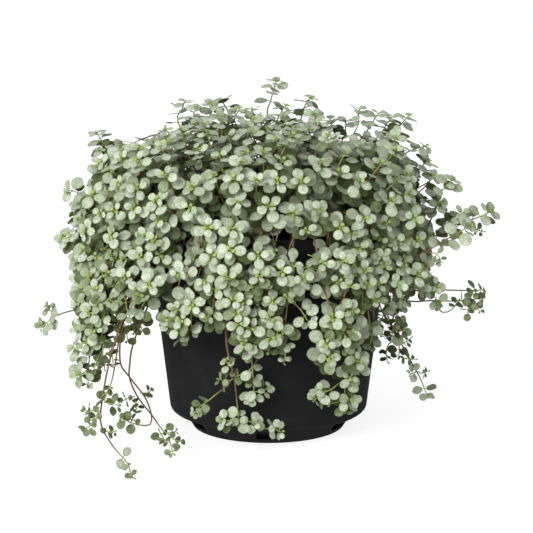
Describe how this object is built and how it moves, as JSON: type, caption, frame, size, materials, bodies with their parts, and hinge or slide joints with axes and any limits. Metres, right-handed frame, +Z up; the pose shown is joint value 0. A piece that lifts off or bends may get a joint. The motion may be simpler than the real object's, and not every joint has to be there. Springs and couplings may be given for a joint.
{
  "type": "potted trailing pilea",
  "caption": "Trailing houseplant with small round silver-green leaves on thin stems, mounded over a round black nursery pot and hanging down its sides.",
  "frame": {"origin": "middle of the pot's base, on the surface that the pot stands on", "axes": "+Z up along the pot's axis, -Y is the front, +X is to the right seen from the front"},
  "size_m": [0.3, 0.2741, 0.223],
  "materials": {
    "pot_plastic": "satin black moulded plastic",
    "potting_mix": "damp crumbly potting mix",
    "leaf": "matte silver-green leaves on thin brown stems"
  },
  "bodies": {
    "root": {"pot": "pot_plastic", "soil": "potting_mix", "bunch_side_1": "leaf", "bunch_side_10": "leaf", "bunch_side_2": "leaf", "bunch_side_3": "leaf", "bunch_side_4": "leaf", "bunch_side_5": "leaf", "bunch_side_6": "leaf", "bunch_side_7": "leaf", "bunch_side_8": "leaf", "bunch_side_9": "leaf", "bunch_top_1": "leaf", "bunch_top_2": "leaf", "bunch_top_3": "leaf", "bunch_top_4": "leaf", "bunch_top_5": "leaf", "trail_back_1": "leaf", "trail_back_2": "leaf", "trail_back_left": "leaf", "trail_back_right": "leaf", "trail_front_1": "leaf", "trail_front_2": "leaf", "trail_front_3": "leaf", "trail_front_4": "leaf", "trail_front_left": "leaf", "trail_front_right": "leaf", "trail_left_1": "leaf", "trail_left_2": "leaf", "trail_left_3": "leaf", "trail_left_back": "leaf", "trail_left_long": "leaf", "trail_left_out": "leaf", "trail_right_1": "leaf", "trail_right_low": "leaf", "trail_right_out": "leaf"}
  },
  "joints": []
}
